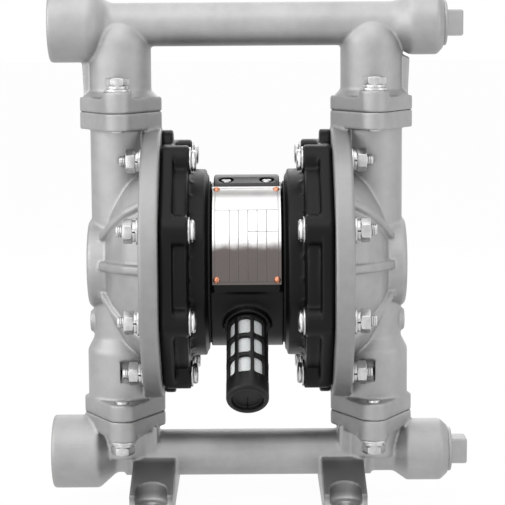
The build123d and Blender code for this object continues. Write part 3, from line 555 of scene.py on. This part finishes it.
def diaphragm_sectors(side):
    """The diaphragm cut into equal sectors about the shaft line."""
    node = side + "_diaphragm"
    whole = merged_copy(node)
    width = 2 * math.pi / DIAPHRAGM_SECTORS
    for i in range(DIAPHRAGM_SECTORS):
        piece = whole.copy()
        piece.data = whole.data.copy()
        bpy.context.scene.collection.objects.link(piece)
        choose(piece)
        bpy.ops.object.mode_set(mode="EDIT")
        cut_away(width * i + math.pi / 2)
        cut_away(width * (i + 1) - math.pi / 2)
        bpy.ops.object.mode_set(mode="OBJECT")
        soften(piece, 40)
        piece.name = f"{node}_sector_{i + 1}"
        piece.data.name = piece.name
        dress(piece, RUBBER)
        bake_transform(piece)
        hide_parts(node)
    bpy.data.objects.remove(whole, do_unlink=True)


# ---------------------------------------------------------------- chamber bolts


def cylinder(radius, low, high, sides=32):
    """A cylinder about Z between two heights."""
    deselect()
    middle = (0, 0, (low + high) / 2)
    bpy.ops.mesh.primitive_cylinder_add(vertices=sides, radius=radius, depth=high - low, location=middle)
    piece = bpy.context.object
    bpy.ops.object.transform_apply(location=True)
    return piece


def helix_thread(crest, low, pitch, turns):
    """The ridge of a screw thread about Z, swept from a three-cornered tooth."""
    reach = pitch / math.sqrt(3)
    deselect()
    bpy.ops.mesh.primitive_circle_add(
        vertices=3,
        radius=reach,
        fill_type="NGON",
        location=(crest - reach, 0, low + pitch / 2),
        rotation=(math.pi / 2, math.pi / 2, 0),
    )
    ridge = bpy.context.object
    bpy.ops.object.transform_apply(location=True, rotation=True)
    settings = {"axis": "Z", "screw_offset": pitch, "iterations": turns, "steps": 20, "render_steps": 20}
    apply_modifier(ridge, "SCREW", **settings)
    return ridge


def chamber_bolt():
    """A domed socket bolt along Z: its flange stands on z = 0 and its shank goes up."""
    shank_end = (DISC_OUTER_X - COVER_FACE_X) + SHANK_BEYOND_DISC
    flange = cylinder(FLANGE_RADIUS, -1.4 * MM, 0, 48)
    apply_modifier(flange, "BEVEL", width=0.4 * MM, segments=2, limit_method="ANGLE")
    dome = cylinder(DOME_RADIUS, DOME_TOP, -1 * MM, 48)
    apply_modifier(dome, "BEVEL", width=2.6 * MM, segments=6, limit_method="ANGLE")
    key = cylinder(SOCKET_RADIUS, DOME_TOP - 0.6 * MM, DOME_TOP + 2.5 * MM, 6)
    apply_modifier(dome, "BOOLEAN", object=key, operation="DIFFERENCE", solver="EXACT")
    bpy.data.objects.remove(key, do_unlink=True)
    shank = cylinder(SHANK_RADIUS, -0.5 * MM, shank_end, 24)
    apply_modifier(shank, "BEVEL", width=0.4 * MM, segments=2, limit_method="ANGLE")
    ridge = helix_thread(THREAD_CREST, shank_end - 8 * MM, THREAD_PITCH, THREAD_TURNS)
    choose(dome)
    for part in (flange, shank, ridge):
        part.select_set(True)
    bpy.ops.object.join()
    soften(dome, 32)
    return dome


def all_chamber_bolts():
    """Each chamber's ring of bolts, as one piece, every bolt turned differently."""
    model = chamber_bolt()
    for side, sign in SIDES.items():
        copies = []
        for i in range(BOLT_COUNT):
            turn = 2 * math.pi / BOLT_COUNT * (i + 0.5)
            bolt = model.copy()
            bolt.data = model.data.copy()
            bpy.context.scene.collection.objects.link(bolt)
            aside, up = -BOLT_CIRCLE * math.sin(turn), BOLT_CIRCLE * math.cos(turn)
            place = Vector((sign * COVER_FACE_X, aside, SHAFT_Z + up))
            along = Vector((sign, 0, 0)).to_track_quat("Z", "Y").to_matrix().to_4x4()
            spin = Matrix.Rotation(0.4 + 1.7 * i, 4, "Z")
            bolt.data.transform(Matrix.Translation(place) @ along @ spin)
            copies.append(bolt)
        choose(copies[0])
        for bolt in copies:
            bolt.select_set(True)
        bpy.ops.object.join()
        node = side + "_chamber_bolts"
        finish_piece(copies[0], node + "_threaded", "pump_body", STEEL)
        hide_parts(node)
    bpy.data.objects.remove(model, do_unlink=True)


# ---------------------------------------------------------------- scene


def camera():
    """The viewpoint: in front of the pump, near its top, looking down a little."""
    eye = Vector((0.0045, -1.505, 0.400))
    aim = Vector((0.0045, 0.0, 0.2075))
    roll = math.radians(-0.38)
    data = bpy.data.cameras.new("viewpoint")
    data.lens = 131.9
    data.sensor_width = 36
    data.clip_end = 20
    view = bpy.data.objects.new("viewpoint", data)
    bpy.context.scene.collection.objects.link(view)
    turn = (aim - eye).to_track_quat("-Z", "Y").to_matrix().to_4x4()
    view.matrix_world = Matrix.Translation(eye) @ turn @ Matrix.Rotation(roll, 4, "Z")
    bpy.context.scene.camera = view


def lamp(name, at, aim, size, power):
    """A soft white panel light, its power in watts."""
    data = bpy.data.lights.new(name, "AREA")
    data.shape = "RECTANGLE"
    data.size, data.size_y = size
    data.energy = power
    light = bpy.data.objects.new(name, data)
    bpy.context.scene.collection.objects.link(light)
    turn = (Vector(aim) - Vector(at)).to_track_quat("-Z", "Y").to_matrix().to_4x4()
    light.matrix_world = Matrix.Translation(at) @ turn


def shown_rays(tree):
    """1 for the rays that see the background: the camera's, mirrored and passed-on ones."""
    path = tree.nodes.new("ShaderNodeLightPath")
    total = path.outputs["Is Camera Ray"]
    for kind in ("Is Glossy Ray", "Is Transmission Ray"):
        most = tree.nodes.new("ShaderNodeMath")
        most.operation = "MAXIMUM"
        tree.links.new(total, most.inputs[0])
        tree.links.new(path.outputs[kind], most.inputs[1])
        total = most.outputs[0]
    return total


def background(tree, strength):
    """A plain white surround of a given strength."""
    made = tree.nodes.new("ShaderNodeBackground")
    made.inputs[0].default_value = (1, 1, 1, 1)
    made.inputs[1].default_value = strength
    return made


def studio_world():
    """White where it is seen or mirrored, and a softer light on the object."""
    world = bpy.data.worlds.new("studio")
    bpy.context.scene.world = world
    world.use_nodes = True
    tree = world.node_tree
    tree.nodes.clear()
    out = tree.nodes.new("ShaderNodeOutputWorld")
    mix = tree.nodes.new("ShaderNodeMixShader")
    tree.links.new(shown_rays(tree), mix.inputs[0])
    tree.links.new(background(tree, WORLD_LIGHT).outputs[0], mix.inputs[1])
    tree.links.new(background(tree, 1.0).outputs[0], mix.inputs[2])
    tree.links.new(mix.outputs[0], out.inputs[0])


def pale_floor():
    """A white floor that keeps a soft shadow of the pump."""
    deselect()
    bpy.ops.mesh.primitive_plane_add(size=30, location=(0, 0, 0))
    floor = bpy.context.object
    floor.name = "floor"
    pale = Finish("pale_floor", Roughness=0.8)
    pale.set("Base Color", grey(0.5))
    glow = pale.node("ShaderNodeEmission", None, [(1, 1, 1, 1), GLOW_STRENGTH])
    shown = Field(pale, shown_rays(pale.tree)) * FLOOR_GLOW
    mixed = pale.node("ShaderNodeMixShader", None, [shown, Field(pale, pale.shader.outputs[0]), glow])
    pale.feed(pale.tree.nodes["Material Output"].inputs[0], mixed)
    dress(floor, pale.material)


def studio():
    """Panel lights round the pump, mostly from the left and above, in white surroundings."""
    middle = (0, 0, 0.21)
    lamp("key", (-1.5, -0.6, 0.9), middle, (1.0, 1.2), 10)
    lamp("low_front", (-0.9, -1.6, 0.15), middle, (0.8, 0.7), 4)
    lamp("front", (-0.2, -0.95, 1.6), middle, (1.4, 1.3), 8)
    lamp("fill", (1.4, -0.9, 0.5), middle, (0.9, 1.2), 3)
    lamp("top", (0, 0.35, 1.5), middle, (1.6, 1.3), 5)
    lamp("rear", (0.2, 1.4, 0.9), middle, (1.2, 0.8), 5)
    studio_world()
    pale_floor()


camera()
studio()
for name, part in nodes.items():
    dress(part, SLOT_FINISH[slot_of(name)])
all_castings()
all_machined()
all_chamber_bolts()
for side, sign in SIDES.items():
    diaphragm_sectors(side)

bpy.context.scene.view_settings.view_transform = "Standard"
bpy.context.view_layer.update()
